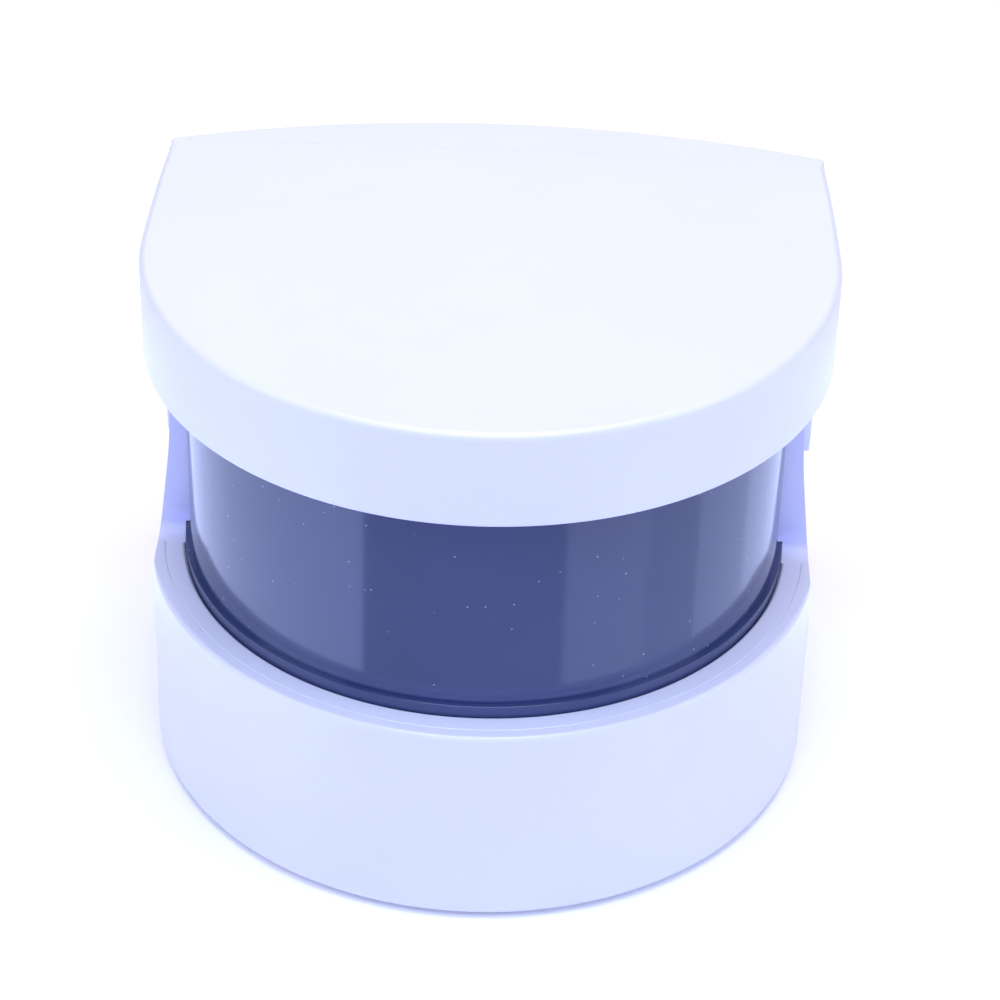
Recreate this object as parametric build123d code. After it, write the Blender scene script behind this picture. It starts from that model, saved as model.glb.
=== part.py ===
from build123d import *
import os

os.makedirs("parts", exist_ok=True)

# A small battery-powered ultrasonic jewellery cleaner with a hinged lid.
# Millimetres. X is the width, Y runs from the round front to the hinged back, Z is up.
# The origin is on the table, under the middle of the wash tank.

# Plan shape that the base and the lid share
front_radius = 53.0
side_run = 32.5
corner_drawn_in = 0.9
rear_bulge = 9.4
rear_corner_radius = 1.5

# Heights above the table, and from the top of the tank housing
foot_proud = 0.8
rim_z = 35.0
housing_top_z = 75.2
back_below_top = 4.7
skirt_lap = 2.7
lid_rise = 12.5

# Base shell
wall = 2.0
lean_in = 3.3
lean_below_rim = 10.0
lean_above_hinge = 4.0
lean_blend_radius = 90.0
arm_forward = -1.0
arm_foot_radius = 4.0
arm_crest_radius = 2.5
foot_edge_bevel = 1.4
ledge_reach = 1.2
ledge_height = 1.5
notch_height = 3.6

# Deck ring
deck_below_rim = 3.4
deck_plate = 2.4
deck_boss_height = 6.4
deck_hole_gap = 3.0
crown_gap = 1.05
crown_width = 2.05
crown_height = 1.35

# Dark tank housing
housing_inset = 6.2
housing_wall = 1.8
housing_corner_radius = 5.0
housing_edge_bevel = 1.0
housing_roof = 3.4
flange_reach = 0.8
flange_height = 2.7
flange_bevel = 0.3
tank_boss_height = 12.0

# Steel wash tank
tank_radius = 36.5
tank_depth = 39.0
tank_sheet = 0.6
tank_floor_bend = 6.5
tank_lip_reach = 2.5
gasket_height = 0.8
mouth_gap = 0.4

# Transducer under the tank
horn_radius = 23.0
horn_height = 1.2
piezo_radius = 19.0
piezo_height = 2.5
piezo_bevel = 0.3

# Basket
basket_gap = 2.9
basket_wall = 1.4
basket_below_top = 7.0
basket_foot = 1.8
basket_foot_radius = 1.6
basket_slots = 12
basket_bend = 4.0
basket_slot_width = 4.2
basket_lip_gap = 0.5
basket_lip_height = 1.8
basket_hub_radius = 9.0

# Lid
lid_wall = 2.0
lid_roof = 3.0
lid_edge_bevel = 0.9
lid_rear_drop = 0.5
lid_drop_run = 26.0
liner_gap = 2.0
liner_height = 1.6
bumper_radius = 2.0

# Lid hinge, from the centre of the front arc and from the top of the housing
hinge_back = 26.5
hinge_below_top = 26.2
ear_radius = 7.6
ear_front = 18.0
ear_gap = 0.6
pin_radius = 1.5
pin_length = 4.3
pin_boss_wall = 2.5
pocket_gap = 1.8
pocket_front_gap = 4.4
pocket_skin = 0.2

# Bottom cover and battery box
cover_height = 2.4
cell_radius = 7.1
cell_length = 48.2
cell_gap = 0.4
cell_count = 4
nub_radius = 2.7
nub_height = 1.3
contact_space = 3.2
contact_sheet = 0.5
box_wall = 1.7
foot_radius = 4.0
foot_recess = 1.2
foot_bevel = 0.4

# Battery door
door_height = 2.0
door_stub_radius = 0.7
door_stub_length = 1.4
door_rest_width = 0.4
door_notch_width = 16.0
door_grooves = 5

# Screws
case_screw_radius = 1.5
case_head_radius = 2.8
case_head_height = 1.8
head_sink = 0.4
small_screw_radius = 1.1
small_head_radius = 2.1
small_head_height = 1.2
boss_wall = 1.7

# Circuit board, switch and button
board_width = 52.0
board_length = 27.0
board_height = 1.6
board_gap = 1.6
board_behind = 5.0
switch_width = 7.0
switch_length = 10.0
plunger_radius = 1.7
plunger_reach = 4.2
button_radius = 5.4
button_flange = 0.8
button_travel = 1.5
socket_size = (6.0, 4.4, 4.0)
transducer_socket_x = 10.0
battery_socket_x = 17.0
lead_hole_y = 6.0
lead_hole_radius = 2.4
lead_width = 2.4
lead_height = 1.1
lead_bend = 1.4

# Clearances
fit = 0.15
running = 0.05
body_gap = 0.3

# Front and rear pairs: how far in from the side, and how far behind the front arc's centre
case_screw_pairs = ((9.0, -11.5), (9.6, 16.5))
tank_screw_pairs = ((10.7, -3.0), (12.0, 25.3))
liner_screw_pairs = ((19.0, -23.5), (17.0, 26.5))
foot_pairs = ((17.4, -27.5), (17.0, 25.5))

# Places worked out from the driving dimensions
far = 4 * (front_radius + side_run)
arc_y = (front_radius - side_run - rear_bulge) / 2
rear_y = arc_y + side_run + rear_bulge
corner_half_width = front_radius - corner_drawn_in
back_top_z = housing_top_z - back_below_top
skirt_z = housing_top_z - skirt_lap
lid_top_z = housing_top_z + lid_rise
lid_room_z = lid_top_z - lid_roof
liner_z = housing_top_z + liner_gap
hinge_y = arc_y + hinge_back
hinge_z = housing_top_z - hinge_below_top
ear_y = arc_y + ear_front
ear_bottom_z = hinge_z - ear_radius
pocket_z = ear_bottom_z - pocket_gap
waist_half_width = front_radius - lean_in
ear_inner_half_width = waist_half_width + ear_gap
arm_y = arc_y + arm_forward
housing_radius = front_radius - housing_inset
pin_start = housing_radius + body_gap
pin_end = pin_start + pin_length
tank_lip_radius = tank_radius + tank_lip_reach
tank_floor_z = housing_top_z - tank_depth
tank_under_z = tank_floor_z - tank_sheet
horn_under_z = tank_under_z - horn_height
piezo_under_z = horn_under_z - piezo_height
basket_radius = tank_radius - basket_gap
basket_top_z = housing_top_z - basket_below_top
deck_underside_z = rim_z - deck_below_rim
deck_top_z = deck_underside_z + deck_plate
deck_boss_z = deck_underside_z - deck_boss_height
cover_z = foot_proud
cover_top_z = cover_z + cover_height
cell_z = cover_top_z + cell_radius + fit
cell_pitch = 2 * cell_radius + cell_gap
box_half_width = cell_pitch * cell_count / 2
box_half_length = cell_length / 2 + contact_space
box_roof_under_z = cell_z + cell_radius + 2 * fit
box_roof_z = box_roof_under_z + box_wall
door_round_radius = door_height / 2
door_hinge_y = -(box_half_length + door_rest_width - body_gap - door_round_radius)
door_hinge_z = cover_z + door_round_radius
board_z = box_roof_z + board_gap
board_top_z = board_z + board_height
board_rear_y = rear_y - wall - board_behind
board_front_y = board_rear_y - board_length
switch_z = board_top_z + switch_width / 2
stem_y = board_rear_y + button_travel + body_gap
lead_hole = (battery_socket_x, lead_hole_y)
socket_spots = ((transducer_socket_x, board_front_y + 3.6), (battery_socket_x, board_front_y + 10.6))


def four_spots(pairs):
    """Plan positions of a front pair and a rear pair, the same on both sides."""
    (front_in, front_back), (rear_in, rear_back) = pairs
    front = (front_radius - front_in, arc_y + front_back)
    rear = (front_radius - rear_in, arc_y + rear_back)
    return [front, rear, (-rear[0], rear[1]), (-front[0], front[1])]


case_screw_spots = four_spots(case_screw_pairs)
tank_screw_spots = four_spots(tank_screw_pairs)
liner_screw_spots = four_spots(liner_screw_pairs)
foot_spots = four_spots(foot_pairs)
board_screw_in = small_head_radius + 1.4
board_screw_spots = [(side * (board_width / 2 - board_screw_in), y) for side in (1, -1)
                     for y in (board_front_y + board_screw_in, board_rear_y - board_screw_in)]


def outline(inset=0.0, corner=0.0):
    """Plan face: round front, long sides that close in a little, bowed rear."""
    side_y = arc_y + side_run
    front = ThreePointArc((-front_radius, arc_y), (0, arc_y - front_radius), (front_radius, arc_y))
    right = TangentArc((front_radius, arc_y), (corner_half_width, side_y), tangent=(0, 1))
    rear = ThreePointArc((corner_half_width, side_y), (0, rear_y), (-corner_half_width, side_y))
    left = TangentArc((-front_radius, arc_y), (-corner_half_width, side_y), tangent=(0, 1))
    face = make_face([front, right, rear, left])
    if inset:
        face = offset(face, amount=-inset, kind=Kind.INTERSECTION)
    if corner:
        rear_corners = face.vertices().sort_by(Axis.Y)[-2:]
        face = fillet(rear_corners, corner)
    return face


def prism(inset, low_z, high_z, corner=0.0):
    """The plan shape, drawn in by inset, between two heights."""
    return extrude(Pos(0, 0, low_z) * outline(inset, corner), high_z - low_z, dir=(0, 0, 1))


def block(x_range, y_range, z_range):
    """A plain box given by its limits."""
    limits = (x_range, y_range, z_range)
    size = [high - low for low, high in limits]
    middle = [(high + low) / 2 for low, high in limits]
    return Pos(*middle) * Box(*size)


def post(spot, radius, low_z, high_z):
    """An upright cylinder at a plan position."""
    return Pos(spot[0], spot[1], (low_z + high_z) / 2) * Cylinder(radius, high_z - low_z)


def posts(spots, radius, low_z, high_z):
    """The same upright cylinder at several plan positions."""
    return Part() + [post(spot, radius, low_z, high_z) for spot in spots]


def spun(points, radii=0.0):
    """A solid of revolution about Z from a closed outline of radius and height."""
    profile = make_face(FilletPolyline(*points, radius=radii, close=True))
    return revolve(Plane.XZ * profile, Axis.Z)


def side_bar(radius, x_range, y, z):
    """A cylinder along X."""
    low, high = x_range
    return Pos((low + high) / 2, y, z) * Rot(0, 90, 0) * Cylinder(radius, high - low)


def rear_bar(radius, y_range, x, z):
    """A cylinder along Y."""
    low, high = y_range
    return Pos(x, (low + high) / 2, z) * Rot(90, 0, 0) * Cylinder(radius, high - low)


def both_sides(solid):
    """The solid and its mirror image across the middle plane."""
    return solid + mirror(solid, Plane.YZ)


def save(name, solid):
    """Write one sub-part under its node name."""
    export_step(solid, f"parts/{name}.step")


def base_shell():
    """White case: round front wall, and a raised back whose front edges are the two arms."""
    wide, waist, top = front_radius + 1, waist_half_width, back_top_z + 1
    lean_start_z, lean_end_z = rim_z - lean_below_rim, hinge_z + lean_above_hinge
    right_side = FilletPolyline((front_radius, -1), (front_radius, lean_start_z), (waist, lean_end_z),
                                (waist, top), radius=lean_blend_radius)
    left_side = mirror(right_side, Plane.YZ)
    lid_line = Line((-waist, top), (waist, top))
    foot_line = Line((-front_radius, -1), (front_radius, -1))
    leaning = make_face([*right_side.edges(), *left_side.edges(), lid_line, foot_line])
    steps = FilletPolyline((-far, -1), (far, -1), (far, back_top_z), (arm_y, back_top_z),
                           (arm_y, rim_z), (-far, rim_z),
                           radius=[0, 0, 0, arm_crest_radius, arm_foot_radius, 0], close=True)
    shell = prism(0, foot_proud, back_top_z, rear_corner_radius)
    shell &= extrude(Plane.XZ * leaning, far, both=True)
    shell &= extrude(Plane.YZ * make_face(steps), far, both=True)
    shell = chamfer(shell.edges().group_by(Axis.Z)[0], foot_edge_bevel)

    front_room = prism(wall, 0, top) & block((-far, far), (-far, arm_y), (0, top))
    low_room = prism(wall, 0, rim_z + wall) & block((-far, far), (-far, far), (0, pocket_z - wall))
    back_room = prism(wall, rim_z, back_top_z - wall)
    back_room &= block((wall - waist, waist - wall), (arm_y + wall, far), (rim_z, top))
    flange_room = prism(housing_inset - flange_reach - body_gap, rim_z - 1, rim_z + notch_height)
    housing_room = prism(housing_inset - body_gap, rim_z, top, housing_corner_radius + body_gap)
    shell -= front_room + low_room
    shell -= back_room
    shell -= flange_room
    shell -= housing_room

    pocket_y = ear_y - pocket_front_gap
    shell -= both_sides(block((waist + pocket_skin, wide), (pocket_y, far), (pocket_z, top)))

    cover_ledge = ledge(cover_top_z, cover_top_z + ledge_height)
    deck_ledge = ledge(deck_underside_z - ledge_height, deck_underside_z)
    shell += cover_ledge
    shell += deck_ledge & block((-far, far), (-far, arm_y), (0, rim_z))

    boss_radius = pin_radius + pin_boss_wall
    shell += both_sides(side_bar(boss_radius, (pin_start, waist - body_gap), hinge_y, hinge_z))
    shell -= both_sides(side_bar(pin_radius, (housing_radius, wide), hinge_y, hinge_z))
    return shell - rear_bar(button_radius + fit, (rear_y - 2 * wall, rear_y + wall), 0, switch_z)


def ledge(low_z, high_z):
    """Narrow shelf round the inside of the case wall."""
    return prism(wall - body_gap, low_z, high_z) - prism(wall + ledge_reach, low_z - 1, high_z + 1)


def deck_ring():
    """White deck that carries the tank housing, with a rounded crown along the front."""
    front_half = block((-far, far), (-far, arm_y - fit), (0, far))
    deck = prism(housing_inset + fit, deck_underside_z, deck_top_z, housing_corner_radius)
    deck += prism(wall + fit, deck_underside_z, deck_top_z) & front_half
    inner = housing_radius + crown_gap
    outer = inner + crown_width
    crown_z = deck_top_z + crown_height
    crown = spun([(outer, deck_top_z - 1), (inner, deck_top_z - 1), (inner, crown_z - 0.4),
                  (inner + 0.5, crown_z), (outer - 0.7, crown_z), (outer, crown_z - 0.8)])
    deck += (Pos(0, arc_y, 0) * crown) & front_half
    deck -= post((0, 0), horn_radius + deck_hole_gap, 0, rim_z)
    deck += posts(case_screw_spots, case_screw_radius + boss_wall, deck_boss_z, deck_top_z)
    deck -= posts(case_screw_spots, case_screw_radius, 0, deck_top_z - deck_plate / 2)
    return deck - posts(tank_screw_spots, small_screw_radius + fit, 0, rim_z)


def tank_housing():
    """Dark glossy band with a foot flange and a roof that holds the steel tank's lip."""
    body = prism(housing_inset, deck_top_z, housing_top_z, housing_corner_radius)
    body = chamfer(body.edges().group_by(Axis.Z)[-1], housing_edge_bevel)
    flange_inset = housing_inset - flange_reach
    flange = prism(flange_inset, deck_top_z, deck_top_z + flange_height, housing_corner_radius)
    body += chamfer(flange.edges().group_by(Axis.Z)[-1], flange_bevel)
    roof_under_z = housing_top_z - housing_roof
    body -= prism(housing_inset + housing_wall, 0, roof_under_z, housing_corner_radius - housing_wall)
    body -= post((0, 0), tank_radius + tank_sheet + mouth_gap, 0, far)
    seat_z = housing_top_z - tank_sheet - gasket_height
    body -= post((0, 0), tank_lip_radius + fit, seat_z, far)
    boss_top_z = deck_top_z + tank_boss_height
    body += posts(tank_screw_spots, small_screw_radius + boss_wall, deck_top_z, boss_top_z)
    return body - posts(tank_screw_spots, small_screw_radius, 0, boss_top_z - boss_wall)


def bowl_outline(radius, floor_z, bend, top_z):
    """Half section of a bowl whose floor bends up into its wall in two flats."""
    knee = 0.3 * bend
    return [(0, floor_z), (radius - bend, floor_z), (radius - knee, floor_z + knee),
            (radius, floor_z + bend), (radius, top_z), (0, top_z)]


def wash_tank():
    """Drawn steel bowl with a bent floor edge and a flat lip."""
    outer_bend = tank_floor_bend + 0.6 * tank_sheet
    bowl = spun(bowl_outline(tank_radius + tank_sheet, tank_under_z, outer_bend, housing_top_z))
    bowl += post((0, 0), tank_lip_radius, housing_top_z - tank_sheet, housing_top_z)
    return bowl - spun(bowl_outline(tank_radius, tank_floor_z, tank_floor_bend, housing_top_z + 1))


def tank_gasket():
    """Flat rubber ring under the tank's lip."""
    top_z = housing_top_z - tank_sheet
    low_z = top_z - gasket_height
    inner = tank_radius + tank_sheet + mouth_gap
    return post((0, 0), tank_lip_radius, low_z, top_z) - post((0, 0), inner, 0, far)


def transducer_plate():
    """Round metal plate bonded under the tank."""
    return post((0, 0), horn_radius, horn_under_z, tank_under_z)


def transducer_disc():
    """Ceramic disc bonded under the plate."""
    disc = post((0, 0), piezo_radius, piezo_under_z, horn_under_z)
    return chamfer(disc.edges().group_by(Axis.Z)[0], piezo_bevel)


def basket():
    """Lift-out basket with upright slots round its wall and radial slots in its floor."""
    low_z = tank_floor_z + body_gap
    floor_z = low_z + basket_foot
    inner_radius = basket_radius - basket_wall
    cup = spun(bowl_outline(basket_radius, floor_z, basket_bend, basket_top_z))
    cup += post((0, 0), tank_radius - basket_lip_gap, basket_top_z - basket_lip_height, basket_top_z)
    cup -= spun(bowl_outline(inner_radius, floor_z + basket_wall, basket_bend, basket_top_z + 1))
    half_width = basket_slot_width / 2
    slot_low_z = floor_z + basket_bend + basket_wall
    slot_high_z = basket_top_z - 2 * basket_lip_height
    wall_slot = block((inner_radius - basket_wall, tank_radius), (-half_width, half_width),
                      (slot_low_z, slot_high_z))
    floor_slot = block((basket_hub_radius, inner_radius - 2 * basket_bend), (-half_width, half_width),
                       (low_z, floor_z + 2 * basket_wall))
    for turn in range(basket_slots):
        cup -= Rot(0, 0, 360 * (turn + 0.5) / basket_slots) * wall_slot
    for turn in range(basket_slots // 2):
        cup -= Rot(0, 0, 720 * turn / basket_slots) * floor_slot
    foot = post((basket_hub_radius / 2, 0), basket_foot_radius, low_z, floor_z + basket_wall / 2)
    for turn in range(3):
        cup += Rot(0, 0, 120 * turn) * foot
    return cup


def lid_shell():
    """Thick white lid with a flat top and two hinge ears hanging at its rear corners."""
    drop_start = (rear_y - lid_drop_run, lid_top_z)
    drop_end = (rear_y, lid_top_z - lid_rear_drop)
    top_line = Line((-far, lid_top_z), drop_start)
    top_roll = TangentArc(drop_start, drop_end, tangent=(1, 0))
    rest = Polyline(drop_end, (far, drop_end[1]), (far, skirt_z), (-far, skirt_z), (-far, lid_top_z))
    crown = extrude(Plane.YZ * make_face([top_line, top_roll, *rest.edges()]), far, both=True)
    lid = prism(0, skirt_z, lid_top_z, rear_corner_radius) & crown
    top_edges = lid.edges().filter_by(lambda edge: edge.center().Z > lid_top_z - lid_roof)
    lid = chamfer(top_edges.filter_by(lambda edge: not on_drop_line(edge)), lid_edge_bevel)
    lid -= prism(lid_wall, 0, lid_room_z)
    lid += ears()
    lid -= both_sides(side_bar(pin_radius + running, (0, pin_end + body_gap), hinge_y, hinge_z))
    boss_low_z = liner_z + liner_height
    lid += posts(liner_screw_spots, small_screw_radius + boss_wall, boss_low_z, lid_room_z + 0.5)
    return lid - posts(liner_screw_spots, small_screw_radius, 0, boss_low_z + 4.5)


def ears():
    """Hinge ears: flush with the lid's sides, rounded about the pins at the lower rear."""
    side_view = FilletPolyline((ear_y, lid_room_z), (ear_y, ear_bottom_z), (far, ear_bottom_z),
                               (far, lid_room_z), radius=[0, 0.8, 0, 0], close=True)
    pair = extrude(Plane.YZ * make_face(side_view), far, both=True)
    turning = side_bar(ear_radius, (-far, far), hinge_y, hinge_z)
    pair -= block((-far, far), (hinge_y, 2 * far), (0, hinge_z)) - turning
    pair &= prism(0, 0, lid_room_z, rear_corner_radius)
    inside = (-ear_inner_half_width, ear_inner_half_width)
    return pair - block(inside, (-far, far), (0, far))


def on_drop_line(edge):
    """True for the straight line across the lid's top where its rear starts to drop."""
    return edge.geom_type == GeomType.LINE and edge.length > front_radius


def lid_liner():
    """Flat panel that closes the lid from below."""
    liner = prism(lid_wall + fit, liner_z, liner_z + liner_height)
    liner -= both_sides(block((ear_inner_half_width - fit, far), (ear_y - 1, far), (0, far)))
    return liner - posts(liner_screw_spots, small_screw_radius + fit, 0, far)


def lid_bumpers():
    """Two soft pads under the lid that meet the housing's roof beside the tank."""
    x, y = (tank_lip_radius + housing_radius) / 2, arc_y - 3.5
    return posts([(-x, y), (x, y)], bumper_radius, housing_top_z + body_gap, liner_z)


def hinge_pins():
    """Steel pins pressed into the case, on which the lid's ears turn."""
    return both_sides(side_bar(pin_radius, (pin_start, pin_end), hinge_y, hinge_z))


def bottom_cover():
    """Floor of the case with the battery box, screw posts and board posts moulded on."""
    opening_x = box_half_width + door_rest_width
    opening_y = box_half_length + door_rest_width
    outer_x, outer_y = box_half_width + box_wall, box_half_length + box_wall
    uprights = block((-outer_x, outer_x), (-outer_y, outer_y), (cover_z, box_roof_z))
    uprights += posts(case_screw_spots, case_head_radius + boss_wall, cover_z, deck_boss_z)
    uprights += posts(board_screw_spots, small_screw_radius + boss_wall, cover_z, board_z)
    uprights &= prism(wall + ledge_reach + fit, cover_z, deck_underside_z)
    cover = prism(wall + fit, cover_z, cover_top_z) + uprights
    cover -= block((-box_half_width, box_half_width), (-box_half_length, box_half_length),
                   (cover_z, box_roof_under_z))
    rest_z = cover_z + door_height + fit
    cover -= block((-opening_x, opening_x), (-opening_y, opening_y), (0, rest_z))
    head_seat_z = cover_z + head_sink + case_head_height
    cover -= posts(case_screw_spots, case_head_radius + fit, 0, head_seat_z)
    cover -= posts(case_screw_spots, case_screw_radius + fit, 0, far)
    cover -= posts(board_screw_spots, small_screw_radius, box_roof_under_z + box_wall / 3, far)
    cover -= posts(foot_spots, foot_radius + running, 0, cover_z + foot_recess)
    cover -= both_sides(side_bar(door_stub_radius + running, (0, opening_x + door_stub_length),
                                 door_hinge_y, door_hinge_z))
    return cover - post(lead_hole, lead_hole_radius, box_roof_under_z - 1, far)


def battery_door():
    """Flat door with a rounded hinge edge, two stubs, grip grooves and a nail notch."""
    half_width = box_half_width + door_rest_width - body_gap
    rear_end = box_half_length + door_rest_width - body_gap
    door = block((-half_width, half_width), (door_hinge_y, rear_end), (cover_z, cover_z + door_height))
    door += side_bar(door_round_radius, (-half_width, half_width), door_hinge_y, door_hinge_z)
    stub_end = half_width + body_gap + door_stub_length - fit
    door += side_bar(door_stub_radius, (-stub_end, stub_end), door_hinge_y, door_hinge_z)
    grip = (-door_notch_width / 2, door_notch_width / 2)
    for line in range(door_grooves):
        groove_y = rear_end - 9.0 - 2.2 * line
        door -= block(grip, (groove_y, groove_y + 1.0), (0, cover_z + 0.4))
    notch = Pos(0, rear_end + 3.0, cover_z) * Sphere(7.0)
    return door - (notch & block(grip, (0, far), (0, cover_z + 0.6 * door_height)))


def battery_cells():
    """Four round cells side by side, every second one turned about."""
    half = cell_length / 2
    cell = rear_bar(cell_radius, (-half, half), 0, 0)
    cell += rear_bar(nub_radius, (half, half + nub_height), 0, 0)
    cells = []
    for index in range(cell_count):
        x = (index - (cell_count - 1) / 2) * cell_pitch
        cells.append(Pos(x, 0, cell_z) * Rot(0, 0, 180 * (index % 2)) * cell)
    return cells


def contact_plate(x_range, wall_sign):
    """Flat metal strip standing against one end wall of the battery box."""
    half_height = 0.7 * cell_radius
    y_range = sorted((wall_sign * box_half_length, wall_sign * (box_half_length - contact_sheet)))
    return block(x_range, y_range, (cell_z - half_height, cell_z + half_height))


def leaf(x, wall_sign):
    """Bent leaf that presses on the flat end of a cell."""
    start = box_half_length - 0.6 * contact_sheet
    tip = cell_length / 2 + contact_sheet
    half_height = 0.65 * cell_radius
    line = FilletPolyline((start, cell_z + half_height), (tip, cell_z), (start, cell_z - half_height),
                          radius=1.2)
    strip = extrude(Plane.YZ * trace(line, 0.8 * contact_sheet), 2.5, both=True)
    return Pos(x, 0, 0) * (strip if wall_sign > 0 else mirror(strip, Plane.XZ))


def contact_dimple(x, wall_sign):
    """Raised button that meets a cell's nub."""
    tip = cell_length / 2 + nub_height
    y_range = sorted((wall_sign * tip, wall_sign * (box_half_length - 0.2)))
    return rear_bar(0.75 * nub_radius, y_range, x, cell_z)


def battery_contacts():
    """Strips that join the cells in a row, with a leaf at each flat end."""
    first_x = -(cell_count - 1) / 2 * cell_pitch
    half_strip = 0.63 * cell_radius
    rear = [[0], [1, 2], [3]]
    front = [[0, 1], [2, 3]]
    contacts = []
    for wall_sign, groups in ((1, rear), (-1, front)):
        for group in groups:
            low = first_x + group[0] * cell_pitch - half_strip
            high = first_x + group[-1] * cell_pitch + half_strip
            strip = contact_plate((low, high), wall_sign)
            for index in group:
                flat_end = (index % 2 == 1) == (wall_sign > 0)
                x = first_x + index * cell_pitch
                strip += leaf(x, wall_sign) if flat_end else contact_dimple(x, wall_sign)
            contacts.append(strip)
    return contacts


def case_screws():
    """Long screws from the cover into the deck, which clamp the case together."""
    head_z = cover_z + head_sink
    tip_z = deck_top_z - 0.7 * deck_plate
    screws = []
    for spot in case_screw_spots:
        screw = post(spot, case_head_radius, head_z, head_z + case_head_height)
        screws.append(screw + post(spot, case_screw_radius, head_z + 1, tip_z))
    return screws


def small_screws(spots, seat_z, reach, upward):
    """Short pan-head screws with their heads seated at one height."""
    way = 1 if upward else -1
    screws = []
    for spot in spots:
        head = sorted((seat_z, seat_z - way * small_head_height))
        shank = sorted((seat_z - way * small_head_height / 2, seat_z + way * reach))
        screws.append(post(spot, small_head_radius, *head) + post(spot, small_screw_radius, *shank))
    return screws


def rubber_feet():
    """Four round feet glued into recesses of the cover."""
    foot = post((0, 0), foot_radius, 0, foot_proud + foot_recess)
    foot = chamfer(foot.edges().group_by(Axis.Z)[0], foot_bevel)
    return [Pos(x, y, 0) * foot for x, y in foot_spots]


def circuit_board():
    """Driver board over the battery box."""
    half = board_width / 2
    board = block((-half, half), (board_front_y, board_rear_y), (board_z, board_top_z))
    return board - posts(board_screw_spots, small_screw_radius + fit, 0, far)


def board_coil():
    """Bobbin coil that steps the voltage up for the transducer."""
    height, waist, full, flange = 8.0, 4.6, 6.0, 1.0
    low, high = board_top_z, board_top_z + height
    shape = spun([(0, low), (full, low), (full, low + flange), (waist, low + flange),
                  (waist, high - flange), (full, high - flange), (full, high), (0, high)])
    return Pos(-12.5, board_rear_y - 7.4, 0) * shape


def board_capacitors():
    """Two round capacitors lying on the board."""
    radius, length, bevel = 3.15, 11.0, 0.5
    can = rear_bar(radius, (0, length), 0, 0)
    can = chamfer(can.edges().group_by(Axis.Y)[0], bevel)
    return [Pos(x, board_front_y + 1.6, board_top_z + radius) * can for x in (-15.0, -8.0)]


def power_transistor():
    """Flat transistor with its metal tab, laid on the board."""
    low_x, high_x, y = 7.0, 16.0, board_rear_y - 9.4
    body = block((low_x, high_x), (y, y + 5.0), (board_top_z, board_top_z + 3.6))
    tab = block((low_x, high_x), (y + 5.0, y + 8.5), (board_top_z, board_top_z + 1.2))
    return body + tab - post(((low_x + high_x) / 2, y + 6.9), 1.2, 0, far)


def control_chip():
    """Small controller in a flat package with two rows of legs."""
    x, y = 1.5, board_rear_y - 19.4
    half_x, half_y, half_leg, leg_pitch = 3.0, 2.5, 0.25, 1.5
    chip = block((x - half_x, x + half_x), (y - half_y, y + half_y),
                 (board_top_z + 0.3, board_top_z + 2.0))
    for row in range(4):
        leg_x = x + leg_pitch * (row - 1.5)
        chip += block((leg_x - half_leg, leg_x + half_leg), (y - half_y - 1.5, y + half_y + 1.5),
                      (board_top_z, board_top_z + 0.5))
    return chip


def lead_sockets():
    """Two small plug sockets for the battery and the transducer leads."""
    length, width, height = socket_size
    return [block((x - length / 2, x + length / 2), (y - width / 2, y + width / 2),
                  (board_top_z, board_top_z + height)) for x, y in socket_spots]


def switch_body():
    """Latching push switch at the rear edge of the board."""
    half = switch_width / 2
    low_y = board_rear_y - switch_length
    body = block((-half, half), (low_y, board_rear_y), (board_top_z, board_top_z + switch_width))
    hole_low = board_rear_y - plunger_reach - button_travel - body_gap
    return body - rear_bar(plunger_radius + running, (hole_low, board_rear_y + 1), 0, switch_z)


def switch_plunger():
    """Round plunger that the button's stem holds."""
    return rear_bar(plunger_radius, (board_rear_y - plunger_reach, stem_y + 1.0), 0, switch_z)


def power_button():
    """Round push button, flush with the rear wall, with a flange and a stem behind it."""
    face_y = rear_y - running
    seat_y = rear_y - wall - body_gap
    cap = rear_bar(button_radius, (seat_y - button_flange, face_y), 0, switch_z)
    cap = chamfer(cap.edges().group_by(Axis.Y)[-1], 0.4)
    cap += rear_bar(button_radius + button_flange, (seat_y - 1.0, seat_y), 0, switch_z)
    cap += rear_bar(plunger_radius + 1.1, (stem_y, seat_y), 0, switch_z)
    dish = Pos(0, face_y, switch_z) * Rot(90, 0, 0) * Cone(button_radius - 1.5, 0, 1.2)
    return cap - dish - rear_bar(plunger_radius, (0, stem_y + 1.0), 0, switch_z)


def flat_lead(start_y, start_z, socket, high_z):
    """Two-core flat lead: from a start point, over at one height, into its socket."""
    x, socket_y = socket
    socket_top_z = board_top_z + socket_size[2]
    route = FilletPolyline((start_y, start_z), (start_y, high_z), (socket_y, high_z),
                           (socket_y, socket_top_z), radius=lead_bend)
    return Pos(x, 0, 0) * extrude(Plane.YZ * trace(route, lead_height), lead_width / 2, both=True)


def transducer_lead():
    """Lead from the ceramic disc down to its socket."""
    return flat_lead(lead_hole_y, piezo_under_z, socket_spots[0], piezo_under_z - 2 * lead_bend)


def battery_lead():
    """Lead that comes up through the battery box's roof to its socket."""
    return flat_lead(lead_hole_y, box_roof_under_z + box_wall / 2, socket_spots[1],
                     board_top_z + socket_size[2] + 2 * lead_bend)


def together(solids):
    """Several separate solids kept in one node."""
    return Compound(children=[Part(solid.wrapped) for solid in solids])


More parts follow.
